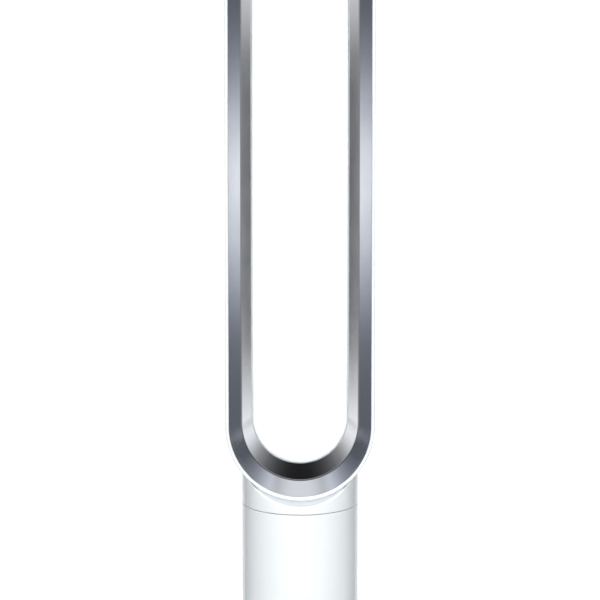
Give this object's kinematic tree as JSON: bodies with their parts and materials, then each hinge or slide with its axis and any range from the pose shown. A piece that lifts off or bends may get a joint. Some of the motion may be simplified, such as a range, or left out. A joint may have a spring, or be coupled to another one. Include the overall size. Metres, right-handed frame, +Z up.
{
  "type": "tower fan",
  "caption": "Tower fan with a tall hollow racetrack loop that blows air from a narrow mouth, on a round column that swings on a flat foot.",
  "frame": {"origin": "on the floor at the middle of the foot, on the axis that the column swings about", "axes": "+Z up the column, -Y towards the front of the loop, +X to the right as seen from the front"},
  "size_m": [0.222, 0.2218, 1.007],
  "materials": {
    "white_shell": "gloss moulded ABS",
    "foot_shell": "gloss moulded ABS",
    "silver_paint": "metallic silver lacquer on ABS",
    "silver_inner": "metallic silver lacquer on ABS",
    "inner_moulding": "moulded, satin",
    "dark_moulding": "moulded, satin",
    "smoked_lens": "smoked polycarbonate, polished",
    "seal_rubber": "moulded",
    "foam": "open-cell foam",
    "acetal": "moulded acetal",
    "plated_steel": "zinc plated",
    "ballast_steel": "pressed steel",
    "circuit_board": "solder mask",
    "winding_copper": "enamelled wire",
    "impeller_resin": "glass-filled, satin",
    "brass_nut": "turned"
  },
  "bodies": {
    "stand": {"foot_pad_ring": "seal_rubber", "foot_bottom_cover": "inner_moulding", "foot_plate": "foot_shell", "ballast_ring": "ballast_steel", "foot_screws": "plated_steel", "turntable_ring": "acetal", "oscillation_rack": "acetal", "cord_gland": "seal_rubber"},
    "column": {"lower_casing": "white_shell", "pivot_retainer": "plated_steel", "retainer_screws": "plated_steel", "oscillation_motor": "plated_steel", "control_board": "circuit_board", "display_module": "dark_moulding", "button_switch": "dark_moulding", "display_window": "smoked_lens", "compartment_lid": "inner_moulding", "lid_screws": "plated_steel", "inlet_grille": "white_shell", "silencing_foam": "foam", "body_shell": "white_shell", "isolator_ring": "seal_rubber", "impeller_housing": "inner_moulding", "housing_seal": "seal_rubber", "diffuser": "inner_moulding", "motor_bucket": "inner_moulding", "bearing_bridge": "inner_moulding", "motor_cap": "inner_moulding", "motor_stator": "ballast_steel", "stator_coils": "winding_copper", "shaft_bearings": "plated_steel", "motor_driver_board": "circuit_board", "neck_seal": "seal_rubber", "bayonet_ring": "inner_moulding", "neck": "white_shell", "saddle_gasket": "seal_rubber", "loop_outer_shell": "white_shell", "loop_front_ring": "silver_paint", "loop_inner_casing": "silver_inner", "slot_spacers": "inner_moulding", "slot_end_seals": "inner_moulding", "flow_guide": "inner_moulding"},
    "fan_rotor": {"impeller": "impeller_resin", "motor_shaft": "plated_steel", "rotor_magnet": "ballast_steel", "impeller_nut": "brass_nut"},
    "swing_pinion": {"drive_pinion": "acetal", "drive_shaft": "plated_steel"},
    "button": {"power_button": "white_shell"}
  },
  "joints": [
    {"name": "column_swing", "type": "hinge", "parent": "stand", "child": "column", "pos_m": [0, 0, 0.0155], "axis": [0, 0, 1], "range_deg": [-35, 35]},
    {"name": "rotor_spin", "type": "hinge", "parent": "column", "child": "fan_rotor", "pos_m": [0, 0, 0.13], "axis": [0, 0, 1], "continuous": true},
    {"name": "pinion_spin", "type": "hinge", "parent": "column", "child": "swing_pinion", "pos_m": [0, 0.0425, 0.01], "axis": [0, 0, 1], "range_deg": [-165, 165]},
    {"name": "button_press", "type": "slide", "parent": "column", "child": "button", "axis": [0, 1, 0], "range_m": [0, 0.001], "stiffness_N_per_m": 500, "springref_m": -0.0004}
  ],
  "couplings": [
    {"joint": "pinion_spin", "follows": "column_swing", "ratio": 4.6667}
  ]
}
